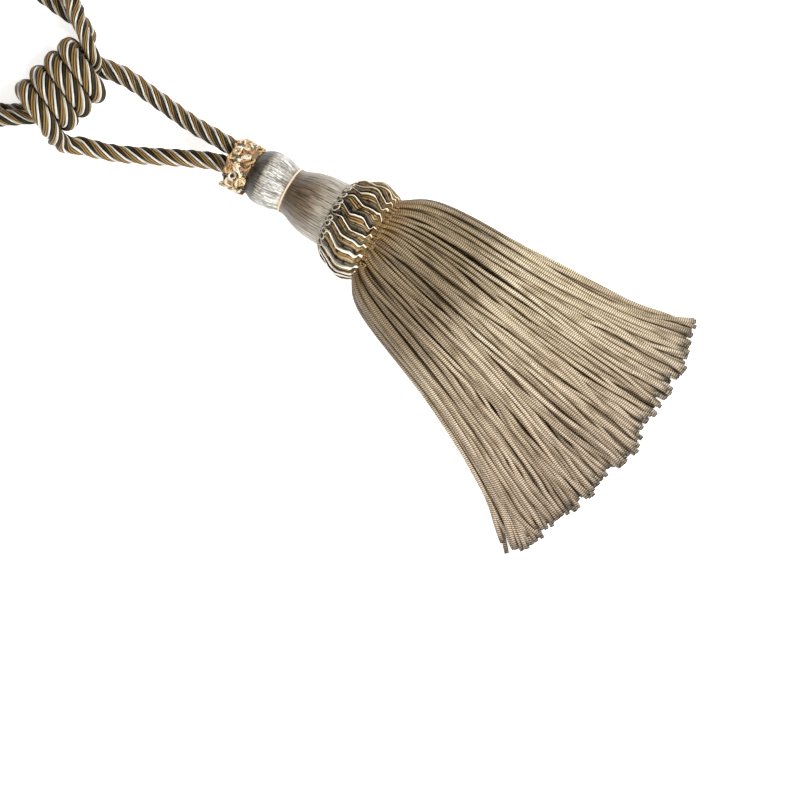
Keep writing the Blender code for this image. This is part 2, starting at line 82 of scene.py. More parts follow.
def surface(name, points, uv, material, wrap=True):
    """A mesh from grids of points, given as (tubes, rows, columns, 3).

    Each cell of a grid becomes a four-sided face. When wrap is set the last column joins the
    first, uv holds one more column, and the open ends are closed with one face each.
    """
    tubes, rows, columns = points.shape[:3]
    spans = columns if wrap else columns - 1
    i, j = np.meshgrid(np.arange(rows - 1), np.arange(spans), indexing="ij")
    beside = (j + 1) % columns
    corner_rows = np.stack([i, i, i + 1, i + 1], axis=-1).reshape(-1, 4)
    corner_columns = np.stack([j, beside, beside, j], axis=-1).reshape(-1, 4)
    uv_columns = np.stack([j, j + 1, j + 1, j], axis=-1).reshape(-1, 4)
    first = (np.arange(tubes) * rows * columns)[:, None, None]
    corners = (first + (corner_rows * columns + corner_columns)[None]).reshape(-1)
    seen = uv[:, corner_rows, uv_columns].reshape(-1, 2)
    sizes = np.full(len(corners) // 4, 4)
    if wrap:
        ring = np.arange(columns)
        start = (first[:, :, 0] + ring[None, ::-1]).reshape(-1)
        end = (first[:, :, 0] + (rows - 1) * columns + ring[None]).reshape(-1)
        corners = np.concatenate([corners, start, end])
        seen = np.concatenate([
            seen, uv[:, 0, :columns][:, ::-1].reshape(-1, 2), uv[:, -1, :columns].reshape(-1, 2)
        ])
        sizes = np.concatenate([sizes, np.full(2 * tubes, columns)])
    mesh = bpy.data.meshes.new(name)
    mesh.vertices.add(points.size // 3)
    mesh.vertices.foreach_set("co", points.astype(np.float32).ravel())
    mesh.loops.add(len(corners))
    mesh.loops.foreach_set("vertex_index", corners.astype(np.int32))
    mesh.polygons.add(len(sizes))
    mesh.polygons.foreach_set("loop_start", (np.cumsum(sizes) - sizes).astype(np.int32))
    mesh.polygons.foreach_set("loop_total", sizes.astype(np.int32))
    mesh.polygons.foreach_set("use_smooth", np.ones(len(sizes), dtype=bool))
    layer = mesh.uv_layers.new(name="lay")
    layer.data.foreach_set("uv", seen.astype(np.float32).ravel())
    mesh.update(calc_edges=True)
    mesh.validate()
    mesh.materials.append(material)
    piece = bpy.data.objects.new(name, mesh)
    bpy.context.scene.collection.objects.link(piece)
    return piece


table_finish, _, shader, _ = new_material("pale glowing table")
shader.inputs["Base Color"].default_value = linear("#FBFBFA")
shader.inputs["Roughness"].default_value = 0.9
shader.inputs["Specular IOR Level"].default_value = 0.2
shader.inputs["Emission Color"].default_value = linear("#FFFFFF")
shader.inputs["Emission Strength"].default_value = 0.68
TABLE_REACH = 3.0
TABLE_LEVEL = -0.0002
corner = TABLE_REACH * np.array([(-1.0, -1.0), (1.0, -1.0), (-1.0, 1.0), (1.0, 1.0)])
corner = np.column_stack([corner, np.full(4, TABLE_LEVEL)])
floor = surface(
    "table", corner.reshape(1, 2, 2, 3), np.zeros((1, 2, 2, 2)), table_finish, wrap=False
)

world = bpy.data.worlds.new("white room")
world.use_nodes = True
tree = world.node_tree
where = add_node(tree, "ShaderNodeTexCoord")
# brightness of the room by direction: overhead and beyond the skirt bright, the knot's side dim
toward_light = add_node(
    tree, "ShaderNodeVectorMath", operation="DOT_PRODUCT", values={1: (0.1, -0.52, 0.85)},
    links={0: where.outputs["Generated"]},
)
room = add_node(
    tree, "ShaderNodeValToRGB", links={0: toward_light.outputs["Value"]},
    stops=((0.0, "#4A4846"), (0.90, "#FFFEFB"), (0.50, "#96938E")),
)
# the walls themselves look plain and pale
plain = add_node(
    tree, "ShaderNodeMix", data_type="RGBA", values={"B": linear("#F4F3F1")},
    links={
        "Factor": add_node(tree, "ShaderNodeLightPath").outputs["Is Camera Ray"],
        "A": room.outputs[0],
    },
)
tree.links.new(plain.outputs["Result"], tree.nodes["Background"].inputs["Color"])
tree.nodes["Background"].inputs["Strength"].default_value = 0.80
bpy.context.scene.world = world
bpy.context.scene.view_settings.view_transform = "Standard"

# place, size and watts of each lamp; all of them face the tassel
LAMPS = {
    "softbox on the right": ((0.70, -0.35, 0.85), 0.35, 13.0),
    "softbox on the left": ((-0.80, -0.25, 0.75), 0.35, 8.0),
}
for name, (place, width, watts) in LAMPS.items():
    lamp = bpy.data.lights.new(name, "AREA")
    lamp.size = width
    lamp.energy = watts
    holder = bpy.data.objects.new(name, lamp)
    holder.location = place
    toward = Vector((0.0, 0.0, 0.0)) - holder.location
    holder.rotation_euler = toward.to_track_quat("-Z", "Y").to_euler()
    bpy.context.scene.collection.objects.link(holder)

# how much the frame shows at the level of the tassel, and where the camera hangs
FRAME_WIDTH = 0.4104
SIGHT_LEVEL = 0.010
CAMERA_PLACE = (-0.0450, -0.0170, 2.0)
CAMERA_TURN = math.radians(-53.13)
SENSOR_WIDTH = 36.0
camera_data = bpy.data.cameras.new("overhead")
camera_data.sensor_width = SENSOR_WIDTH
camera_data.lens = SENSOR_WIDTH * (CAMERA_PLACE[2] - SIGHT_LEVEL) / FRAME_WIDTH
camera_data.clip_end = 20.0
camera = bpy.data.objects.new("overhead", camera_data)
camera.location = CAMERA_PLACE
camera.rotation_euler = (0.0, 0.0, CAMERA_TURN)
bpy.context.scene.collection.objects.link(camera)
bpy.context.scene.camera = camera

# ------------------------------------------------------------------ ropes
# Tieback rope: four plies of viscose yarn twisted right-handed, each ply with a cream cord, a
# pair of gold yarns and a band of dark olive ones. One doubled length goes round the curtain
# and ends in plain eyes; the tassel's own rope makes four wraps round it and two legs.

# places on the plan, less CENTRE, are places round the part's origin
CENTRE = np.array([-0.0103, -0.0674, 0.0])
UP = np.array([0.0, 0.0, 1.0])
ROPE_DIAMETER = 0.0093
ROPE_LAY = 0.0325
PLIES = 4
ROPE_HEIGHT = 0.0050
ROPE_STEP = 0.0011
RIBS_A_PLY = 13.0
KNOT = np.array([-0.0268, 0.1483])
KNOT_LEVEL = 0.0151
KNOT_TURN = math.radians(-8.6)
ALONG_KNOT = np.array([math.cos(KNOT_TURN), math.sin(KNOT_TURN), 0.0])
ACROSS_KNOT = np.array([-math.sin(KNOT_TURN), math.cos(KNOT_TURN), 0.0])
# how far from the knot's middle the ropes are squeezed or swollen, and over how much it eases
SQUEEZED_TO = 0.0240
SQUEEZE_FADE = 0.0140
ARM_SQUEEZE = 0.24
WRAP_SWELL = 0.12


def knot_places(points):
    """World points of places given along the knot, across it and up."""
    p, q, z = np.asarray(points).T
    middle = np.array([*KNOT, 0.0]) - CENTRE
    return middle + p[:, None] * ALONG_KNOT + q[:, None] * ACROSS_KNOT + z[:, None] * UP


def span_between(a, b, c, d, t):
    """The Catmull-Rom curve from b to c, with a before them and d behind: half of
    2b + (c - a)t + (2a - 5b + 4c - d)t^2 + (3b - 3c + d - a)t^3."""
    cubic = (3.0 * (b - c) + d - a) * t**3
    square = (2.0 * a - 5.0 * b + 4.0 * c - d) * t**2
    return 0.5 * (2.0 * b + (c - a) * t + square + cubic)


def distance_along(line):
    """Distance travelled along a line at each of its points."""
    return np.append(0.0, np.cumsum(np.linalg.norm(np.diff(line, axis=0), axis=1)))


def smooth_line(points, step):
    """Evenly spaced points on the Catmull-Rom curve through some points."""
    knots = np.asarray(points)
    knots = np.vstack([2.0 * knots[0] - knots[1], knots, 2.0 * knots[-1] - knots[-2]])
    t = np.linspace(0.0, 1.0, 24, endpoint=False)[None, :, None]
    a, b, c, d = (knots[k : len(knots) - 3 + k][:, None] for k in range(4))
    line = np.vstack([span_between(a, b, c, d, t).reshape(-1, 3), knots[-2]])
    travelled = distance_along(line)
    stations = np.linspace(0.0, travelled[-1], round(travelled[-1] / step) + 1)
    return np.column_stack([np.interp(stations, travelled, line[:, k]) for k in range(3)])


def eased_line(points, step, reach):
    """A smooth line whose points are then averaged over a reach, so that no bend is a corner."""
    line = smooth_line(points, step)
    half = max(1, round(reach / step / 2.0))
    weights = np.hanning(2 * half + 3)[1:-1]
    weights /= weights.sum()
    padded = np.vstack([
        2.0 * line[0] - line[half:0:-1], line, 2.0 * line[-1] - line[-2 : -half - 2 : -1]
    ])
    return np.column_stack([np.convolve(padded[:, k], weights, "valid") for k in range(3)])


def line_frames(line, reference):
    """Unit tangent, and two unit vectors square to it worked out from a fixed direction."""
    tangent = np.gradient(line, axis=0)
    tangent /= np.linalg.norm(tangent, axis=1)[:, None]
    normal = np.cross(reference, tangent)
    normal /= np.linalg.norm(normal, axis=1)[:, None]
    return tangent, normal, np.cross(tangent, normal)


# phase across one ply against radius, of the rope's: cream cord, gold yarns, dark yarns
PLY_OUTLINE = np.array([
    (0.000, 0.650), (0.023, 0.785), (0.058, 0.895), (0.120, 0.940), (0.182, 0.905),
    (0.226, 0.790), (0.254, 0.665), (0.278, 0.720), (0.312, 0.810), (0.356, 0.895),
    (0.400, 0.945), (0.446, 0.965), (0.468, 0.945), (0.484, 0.900), (0.506, 0.945),
    (0.558, 0.995), (0.611, 1.010), (0.659, 0.985), (0.690, 0.915), (0.730, 0.965),
    (0.800, 0.930), (0.865, 0.845), (0.920, 0.745), (0.968, 0.660),
])


def rope(name, line, reference, tightness):
    """Plies carried along a line: the angle of each outline point grows by a full turn a lay, and
    its distance from the line is the outline's radius times the tightness at that place."""
    tangent, normal, binormal = line_frames(line, reference)
    travelled = distance_along(line)
    phase = (np.arange(PLIES)[:, None] + PLY_OUTLINE[None, :, 0]).ravel()
    radius = ROPE_DIAMETER / 2.0 * np.tile(PLY_OUTLINE[:, 1], PLIES)
    angle = 2.0 * np.pi * (phase[None, :] / PLIES + travelled[:, None] / ROPE_LAY)
    out = tightness[:, None] * radius[None, :]
    points = (
        line[:, None]
        + (out * np.cos(angle))[..., None] * normal[:, None]
        + (out * np.sin(angle))[..., None] * binormal[:, None]
    )
    points[..., 2] = np.maximum(points[..., 2], 0.0)
    along = np.repeat(travelled[:, None], len(phase) + 1, axis=1)
    around = np.repeat(np.append(phase, PLIES)[None], len(line), axis=0)
    # centimetres along, and plies round
    uv = np.stack([along * 100.0, around], axis=-1)
    return surface(name, points[None], uv[None], rope_finish)


def in_knot(line):
    """How far inside the knot's ends each point lies: 1 well inside, easing to 0 outside."""
    away = np.linalg.norm(line[:, :2] - (KNOT - CENTRE[:2]), axis=1)
    return np.clip(1.0 - (away - SQUEEZED_TO) / SQUEEZE_FADE, 0.0, 1.0)


# Twisted viscose: bright filament yarn, so each ply has a soft sheen along its yarns. The deep
# creases between yarns and between plies are painted near black, a painted shade, and the gold
# yarns and the dark olive band are painted lighter in their middles than at their edges, a
# painted highlight over their own colours. Phase runs once across a ply, and 13 fine ribs cross
# it for the yarn's filaments, which are far finer.
rope_finish, tree, shader, where = new_material("twisted viscose")
lay = add_node(tree, "ShaderNodeSeparateXYZ", links={0: where.outputs["UV"]})
phase = add_node(tree, "ShaderNodeMath", operation="FRACT", links={0: lay.outputs["Y"]})
# yarn colours across a ply, with painted shade at the creases and painted highlights across the
# gold and dark olive yarns
yarn_colour_and_shade = add_node(
    tree, "ShaderNodeValToRGB", links={0: phase.outputs[0]},
    stops=(
        (0.000, "#060403"), (1.000, "#060403"), (0.010, "#EDE3C9"), (0.030, "#FFFEF9"),
        (0.208, "#FFFCF2"), (0.238, "#D8C8A2"), (0.256, "#060403"), (0.282, "#241B0D"),
        (0.318, "#6A5230"), (0.374, "#BC9A62"), (0.438, "#8C6C3A"), (0.472, "#130B02"),
        (0.492, "#130B02"), (0.530, "#846430"), (0.593, "#BA965A"), (0.656, "#57421F"),
        (0.690, "#060403"), (0.745, "#14110C"), (0.805, "#4A4331"), (0.865, "#2A2519"),
        (0.935, "#080705"),
    ),
)
streaks = add_node(
    tree, "ShaderNodeTexNoise", values={"Scale": 1.0, "Detail": 3.0, "Roughness": 0.6},
    links={
        "Vector": add_node(
            tree, "ShaderNodeMapping", values={"Scale": (4.0, 38.0, 1.0)},
            links={"Vector": where.outputs["UV"]},
        ).outputs[0]
    },
)
streak_tone = add_node(
    tree, "ShaderNodeValToRGB", links={0: streaks.outputs["Fac"]},
    stops=((0.30, "#B9B2A4"), (0.70, "#FFFFFF")),
)
shaded = add_node(
    tree, "ShaderNodeMix", data_type="RGBA", blend_type="MULTIPLY", values={"Factor": 0.75},
    links={"A": yarn_colour_and_shade.outputs[0], "B": streak_tone.outputs[0]},
)
tree.links.new(shaded.outputs["Result"], shader.inputs["Base Color"])
ribs = add_node(
    tree, "ShaderNodeMath", operation="SINE",
    links={
        0: add_node(
            tree, "ShaderNodeMath", operation="MULTIPLY", values={1: 2.0 * math.pi * RIBS_A_PLY},
            links={0: phase.outputs[0]},
        ).outputs[0]
    },
)
relief = add_node(
    tree, "ShaderNodeBump", values={"Strength": 0.55, "Distance": 0.0003},
    links={"Height": ribs.outputs[0]},
)
tree.links.new(relief.outputs[0], shader.inputs["Normal"])
shader.inputs["Roughness"].default_value = 0.36
shader.inputs["Specular IOR Level"].default_value = 0.22

# each arm: its middle line, then its two ropes between the knot's middle and the arm
UPPER_MIDDLE = np.array([
    (0.0062, 0.198), (0.0105, 0.214), (0.0205, 0.247), (0.0275, 0.288),
    (0.0240, 0.330), (0.0070, 0.369), (-0.0240, 0.397),
])
UPPER_OVER = (
    (0.0003, -0.0042, 0.0151), (0.0130, -0.0042, 0.0151), (0.0172, -0.0018, 0.0182),
    (0.0192, 0.0040, 0.0212), (0.0216, 0.0095, 0.0210), (0.0243, 0.0160, 0.0184),
    (0.0270, 0.0220, 0.0158), (0.0292, 0.0267, 0.0140), (0.0304, 0.0320, 0.0122),
    (0.0316, 0.0385, 0.0098),
)
UPPER_UNDER = (
    (0.0003, 0.0042, 0.0151), (0.0130, 0.0042, 0.0151), (0.0190, 0.0060, 0.0131),
    (0.0230, 0.0088, 0.0099), (0.0252, 0.0134, 0.0068), (0.0259, 0.0185, 0.0052),
    (0.0254, 0.0235, 0.0049), (0.0242, 0.0300, 0.0049), (0.0232, 0.0365, 0.0049),
)
LOWER_MIDDLE = np.array([
    (-0.0800, 0.1900), (-0.0910, 0.2045), (-0.1080, 0.2320), (-0.1190, 0.2680),
    (-0.1190, 0.3070), (-0.1070, 0.3480), (-0.0850, 0.3800), (-0.0560, 0.4000),
])
LOWER_OVER = (
    (-0.0003, -0.0042, 0.0151), (-0.0130, -0.0042, 0.0151), (-0.0200, -0.0024, 0.0158),
    (-0.0262, 0.0008, 0.0168), (-0.0328, 0.0072, 0.0157), (-0.0389, 0.0130, 0.0140),
    (-0.0444, 0.0173, 0.0125), (-0.0502, 0.0210, 0.0103), (-0.0562, 0.0248, 0.0077),
)
LOWER_UNDER = (
    (-0.0003, 0.0042, 0.0151), (-0.0130, 0.0042, 0.0151), (-0.0200, 0.0050, 0.0145),
    (-0.0256, 0.0071, 0.0105), (-0.0306, 0.0105, 0.0064), (-0.0360, 0.0155, 0.0050),
    (-0.0402, 0.0212, 0.0049), (-0.0440, 0.0271, 0.0049), (-0.0480, 0.0324, 0.0049),
)
ARM_SPACING = 0.0097
ARM_STEP = 0.006
ARM_EASING = 0.006
EYE_RADIUS = 0.0120
EYE_LENGTH = 0.0520
EYE_TURN = (30.0, 60.0, 90.0, 120.0, 150.0)


def arm_points(over, under, middle):
    """Out on one rope, round the eye and back on the other: each side lies half the spacing from
    the arm's middle line, and the spacing eases open to the eye's width."""
    level = np.column_stack([middle, np.full(len(middle), ROPE_HEIGHT)]) - CENTRE
    line = smooth_line(level, ARM_STEP)
    tangent, left, _ = line_frames(line, UP)
    travelled = distance_along(line)
    to_tip = travelled[-1] - travelled
    opening = np.clip(1.0 - (to_tip - EYE_RADIUS) / (EYE_LENGTH - EYE_RADIUS), 0.0, 1.0)
    opening = opening**2 * (3.0 - 2.0 * opening)
    half = ARM_SPACING / 2.0 + (EYE_RADIUS - ARM_SPACING / 2.0) * opening
    body = to_tip > EYE_RADIUS
    outward = (line + left * half[:, None])[body]
    inward = (line - left * half[:, None])[body]
    angle = np.radians(EYE_TURN)[:, None]
    turn = line[body][-1] + EYE_RADIUS * (left[-1] * np.cos(angle) + tangent[-1] * np.sin(angle))
    start, finish = knot_places(over), knot_places(under)
    if np.linalg.norm(start[-1] - outward[0]) > np.linalg.norm(start[-1] - inward[0]):
        start, finish = finish, start
    return np.vstack([start, outward, turn, inward[::-1], finish[::-1]])


for name, over, under, middle in (
    ("embrace_upper", UPPER_OVER, UPPER_UNDER, UPPER_MIDDLE),
    ("embrace_lower", LOWER_OVER, LOWER_UNDER, LOWER_MIDDLE),
):
    line = eased_line(arm_points(over, under, middle), ROPE_STEP, ARM_EASING)
    piece = rope(name + "_rope", line, UP, 1.0 - ARM_SQUEEZE * in_knot(line))
    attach(piece, "root")
    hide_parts(name)

# the head's axis starts at its foot, swings to the left and dips towards the collar
HEAD_FOOT = np.array([0.0, 0.0, 0.0223]) - CENTRE
HEAD_SWING = math.radians(7.5)
HEAD_DIP = math.radians(8.9)
HEAD_UP = np.array([
    -math.sin(HEAD_SWING) * math.cos(HEAD_DIP),
    math.cos(HEAD_SWING) * math.cos(HEAD_DIP),
    -math.sin(HEAD_DIP),
])
HEAD_RIGHT = np.array([math.cos(HEAD_SWING), math.sin(HEAD_SWING), 0.0])
HEAD_TOP = np.cross(HEAD_RIGHT, HEAD_UP)


def head_places(right, top, height):
    """World points of the head: to its right, towards its top side, and up its axis."""
    right, top, height = np.broadcast_arrays(right, top, height)
    return (
        HEAD_FOOT + right[..., None] * HEAD_RIGHT + top[..., None] * HEAD_TOP
        + height[..., None] * HEAD_UP
    )


# the tassel's rope: up the right leg, four wraps, the tuck and down the left leg
RIGHT_LEG = np.array([
    (-0.0098, 0.1385, 0.0049), (-0.0076, 0.1310, 0.0049), (-0.0066, 0.1220, 0.0049),
    (-0.0065, 0.1120, 0.0049), (-0.0062, 0.1020, 0.0053), (-0.0061, 0.0920, 0.0065),
    (-0.0055, 0.0820, 0.0084), (-0.0042, 0.0720, 0.0106),
])
LEFT_LEG = np.array([
    (-0.0490, 0.1252, 0.0050), (-0.0460, 0.1179, 0.0049), (-0.0412, 0.1080, 0.0049),
    (-0.0346, 0.0975, 0.0054), (-0.0278, 0.0870, 0.0066), (-0.0212, 0.0768, 0.0086),
    (-0.0160, 0.0680, 0.0108),
])
LEFT_TUCK = (
    (-0.0231, -0.0085, 0.0222), (-0.0242, -0.0124, 0.0176), (-0.0249, -0.0151, 0.0128),
    (-0.0245, -0.0181, 0.0087), (-0.0228, -0.0221, 0.0061),
)
WRAP_PITCH = 0.0101
WRAP_SHIFT = -0.0010
WRAP_HALF_WIDTH = 0.0139
WRAP_HALF_HEIGHT = 0.0099
WRAP_EASING = 0.007
SLANT_ARC = math.radians(300.0)
LEG_ASIDE = 0.0050
LEG_HEIGHTS = np.array([0.0638, 0.0568, 0.0473])
# degrees round the barrel: 0 is away from the tassel and 90 the top, where each wrap slants
turn = np.arange(-70.0, 1200.0, 20.0)
whole = np.floor((turn + 90.0) / 360.0)
within = np.radians(turn - 360.0 * whole) - math.pi / 2.0
slant = np.clip(within / SLANT_ARC + 0.5, 0.0, 1.0)
wraps = knot_places(np.column_stack([
    1.5 * WRAP_PITCH + WRAP_SHIFT - WRAP_PITCH * (whole + slant),
    WRAP_HALF_WIDTH * np.cos(np.radians(turn)),
    KNOT_LEVEL + WRAP_HALF_HEIGHT * np.sin(np.radians(turn)),
]))
route = np.vstack([
    head_places(LEG_ASIDE, 0.0, LEG_HEIGHTS)[::-1], (RIGHT_LEG - CENTRE)[::-1], wraps,
    knot_places(LEFT_TUCK), LEFT_LEG - CENTRE, head_places(-LEG_ASIDE, 0.0, LEG_HEIGHTS),
])
line = eased_line(route, ROPE_STEP, WRAP_EASING)
tassel_rope = rope("tassel_rope_twisted", line, ALONG_KNOT, 1.0 + WRAP_SWELL * in_knot(line))
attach(tassel_rope, "root")
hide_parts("tassel_rope")

# ------------------------------------------------------------------ mould
# Turned wooden mould with a bulb, a waist and a bell, covered lengthwise with silver beige satin
# thread that is laid side by side and drawn in at the waist.

MOULD_HEIGHT = 0.047
# height along the head's axis, radius
MOULD_OUTLINE = np.array([
    (0.0470, 0.0080), (0.0468, 0.0100), (0.0462, 0.0110), (0.0448, 0.0123), (0.0430, 0.0133),
    (0.0415, 0.0140), (0.0392, 0.0145), (0.0370, 0.0147), (0.0348, 0.0146), (0.0325, 0.0142),
    (0.0305, 0.0137), (0.0290, 0.0131), (0.0277, 0.0127), (0.0265, 0.0124), (0.0255, 0.0122),
    (0.0245, 0.0122), (0.0233, 0.0124), (0.0220, 0.0127), (0.0203, 0.0133), (0.0185, 0.0141),
    (0.0163, 0.0150), (0.0140, 0.0157), (0.0115, 0.0163), (0.0090, 0.0168), (0.0060, 0.0171),
    (0.0030, 0.0173), (0.0003, 0.0174), (-0.0028, 0.0174),
])


def turned(name, outline, columns, material):
    """An outline of heights and radii turned about the head's axis, its foot first."""
    heights, radii = np.asarray(outline)[::-1].T
    angle = np.linspace(0.0, 2.0 * np.pi, columns, endpoint=False)
    points = head_places(
        radii[:, None] * np.cos(angle), radii[:, None] * np.sin(angle), heights[:, None]
    )
    around = np.repeat(np.linspace(0.0, 1.0, columns + 1)[None], len(heights), axis=0)
    up = np.repeat(heights[:, None], columns + 1, axis=1) / MOULD_HEIGHT
    return surface(name, points[None], np.stack([around, up], axis=-1)[None], material)


# Laid satin thread, silver beige and lustrous. Bands of painted highlight and painted shade cross
# it by height: bright over the bulb, darker on the bell below the waist and dark near the collar.
# It is gathered in folds beside the waist, painted there as patches of shade; the bulb carries
# painted glints, and the bell's crown is painted browner and darker than its sides, a painted
# shade. The threads are drawn about 0.7 mm apart, coarser than real ones, so that they show.
satin, tree, shader, where = new_material("laid satin thread")
lay = add_node(tree, "ShaderNodeSeparateXYZ", links={0: where.outputs["UV"]})
# painted highlight and shade by height: bright over the bulb, darker on the bell below the waist,
# dark near the collar
band = add_node(
    tree, "ShaderNodeValToRGB", links={0: lay.outputs["Y"]},
    stops=(
        (0.00, "#B4AB9B"), (1.00, "#746E63"), (0.10, "#BEB5A6"), (0.24, "#A69B8C"),
        (0.38, "#8C8175"), (0.50, "#8D8378"), (0.53, "#CFC7B8"), (0.57, "#F6F2E8"),
        (0.72, "#FFFEFA"), (0.80, "#E0DACE"), (0.855, "#6C675E"), (0.93, "#423E37"),
    ),
)
threads = add_node(
    tree, "ShaderNodeTexNoise", values={"Scale": 1.0, "Detail": 3.0, "Roughness": 0.6},
    links={
        "Vector": add_node(
            tree, "ShaderNodeMapping", values={"Scale": (135.0, 4.0, 1.0)},
            links={"Vector": where.outputs["UV"]},
        ).outputs[0]
    },
)
thread_tone = add_node(
    tree, "ShaderNodeValToRGB", links={0: threads.outputs["Fac"]},
    stops=((0.38, "#5C564C"), (0.58, "#FFFFFF")),
)
shaded = add_node(
    tree, "ShaderNodeMix", data_type="RGBA", blend_type="MULTIPLY", values={"Factor": 0.85},
    links={"A": band.outputs[0], "B": thread_tone.outputs[0]},
)
# painted glints: short light and dark dashes, a painted sheen on the bulb only
glints = add_node(
    tree, "ShaderNodeTexNoise", values={"Scale": 1.0, "Detail": 1.0},
    links={
        "Vector": add_node(
            tree, "ShaderNodeMapping", values={"Scale": (150.0, 24.0, 1.0)},
            links={"Vector": where.outputs["UV"]},
        ).outputs[0]
    },
)
glint_tone = add_node(
    tree, "ShaderNodeValToRGB", links={0: glints.outputs["Fac"]},
    stops=((0.40, "#77715F"), (0.55, "#FFFFFF")),
)
on_bulb = add_node(
    tree, "ShaderNodeMapRange",
    values={"From Min": 0.50, "From Max": 0.60, "To Min": 0.12, "To Max": 0.58},
    links={"Value": lay.outputs["Y"]},
)
broken = add_node(
    tree, "ShaderNodeMix", data_type="RGBA", blend_type="MULTIPLY",
    links={
        "Factor": on_bulb.outputs[0],
        "A": shaded.outputs["Result"],
        "B": glint_tone.outputs[0],
    },
)
# painted shade in patches beside the waist, standing for the shade in the satin's folds
folds = add_node(
    tree, "ShaderNodeTexNoise", values={"Scale": 1.0, "Detail": 1.0},
    links={
        "Vector": add_node(
            tree, "ShaderNodeMapping", values={"Scale": (17.0, 4.5, 1.0)},
            links={"Vector": where.outputs["UV"]},
        ).outputs[0]
    },
)
fold_painted_shade = add_node(
    tree, "ShaderNodeValToRGB", links={0: folds.outputs["Fac"]},
    stops=((0.42, "#5F5549"), (0.56, "#FFFFFF")),
)
beside_waist = add_node(
    tree, "ShaderNodeValToRGB", links={0: lay.outputs["Y"]},
    stops=((0.44, "#000000"), (0.82, "#000000"), (0.53, "#CFCFCF"), (0.64, "#CFCFCF")),
)
gathered = add_node(
    tree, "ShaderNodeMix", data_type="RGBA", blend_type="MULTIPLY",
    links={
        "Factor": beside_waist.outputs[0],
        "A": broken.outputs["Result"],
        "B": fold_painted_shade.outputs[0],
    },
)
# the bell's crown painted browner and darker than its sides: painted shade
crown = add_node(
    tree, "ShaderNodeValToRGB", links={0: lay.outputs["X"]},
    stops=((0.05, "#FFFFFF"), (0.47, "#FFFFFF"), (0.20, "#CFC1B1"), (0.33, "#CFC1B1")),
)
bell = add_node(
    tree, "ShaderNodeValToRGB", links={0: lay.outputs["Y"]},
    stops=((0.02, "#303030"), (0.54, "#000000"), (0.25, "#FFFFFF"), (0.50, "#FFFFFF")),
)
toned = add_node(
    tree, "ShaderNodeMix", data_type="RGBA", blend_type="MULTIPLY",
    links={
        "Factor": bell.outputs[0],
        "A": gathered.outputs["Result"],
        "B": crown.outputs[0],
    },
)
tree.links.new(toned.outputs["Result"], shader.inputs["Base Color"])
relief = add_node(
    tree, "ShaderNodeBump", values={"Strength": 0.8, "Distance": 0.0004},
    links={"Height": threads.outputs["Fac"]},
)
tree.links.new(relief.outputs[0], shader.inputs["Normal"])
shader.inputs["Roughness"].default_value = 0.33
mould = turned("mould_satin", MOULD_OUTLINE, 160, satin)
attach(mould, "root")
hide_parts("mould")

# ------------------------------------------------------------------ waist thread
# Thin gold coloured thread, a little over half a millimetre thick, wound twice round the waist of
# the mould, where it holds the satin in.

# Gold coloured thread: pale satin gold, too fine for its twist to show.
gold, _, shader, _ = new_material("gold coloured thread")
shader.inputs["Base Color"].default_value = linear("#E8CDAE")
shader.inputs["Roughness"].default_value = 0.4


def cords_along(lines, radius, sides, reference):
    """Round profiles carried along many lines at once, and their coordinates: millimetres along
    and once round."""
    tangent = np.gradient(lines, axis=1)
    tangent /= np.linalg.norm(tangent, axis=2)[..., None]
    normal = np.cross(reference, tangent)
    normal /= np.linalg.norm(normal, axis=2)[..., None] + 1e-9
    binormal = np.cross(tangent, normal)
    angle = np.linspace(0.0, 2.0 * np.pi, sides, endpoint=False)
    out = np.broadcast_to(np.asarray(radius), lines.shape[:2])[..., None]
    points = (
        lines[:, :, None]
        + (out * np.cos(angle))[..., None] * normal[:, :, None]
        + (out * np.sin(angle))[..., None] * binormal[:, :, None]
    )
    steps = np.linalg.norm(np.diff(lines, axis=1), axis=2)
    travelled = np.concatenate([np.zeros((len(lines), 1)), np.cumsum(steps, axis=1)], axis=1)
    along = np.repeat(travelled[:, :, None], sides + 1, axis=2)
    around = np.broadcast_to(np.linspace(0.0, 1.0, sides + 1), along.shape)
    return points, np.stack([along * 1000.0, around], axis=-1)


THREAD_RADIUS = 0.00028
THREAD_TURNS = 2.15
THREAD_START = -1.2
WAIST_RADIUS = 0.01245
WAIST_HEIGHTS = (0.0245, 0.0253)
turn = np.linspace(THREAD_START, THREAD_TURNS * 2.0 * np.pi + THREAD_START, 180)
line = head_places(
    WAIST_RADIUS * np.cos(turn), WAIST_RADIUS * np.sin(turn),
    np.linspace(*WAIST_HEIGHTS, len(turn)),
)
points, uv = cords_along(line[None], THREAD_RADIUS, 8, HEAD_UP)
waist_thread = surface("waist_thread_gold", points, uv, material=gold)
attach(waist_thread, "root")
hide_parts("waist_thread")

# ------------------------------------------------------------------ collar
# Thin gimp cords curled over one another round the neck of the mould and the foot of the two
# legs: cream, gold, orange brown and dark curls, none quite like the next, over a wound band.

COLLAR_ASIDE = 0.0012
CURL_RADIUS = 0.00062
CURL_LEVELS = (0.0474, 0.0582)


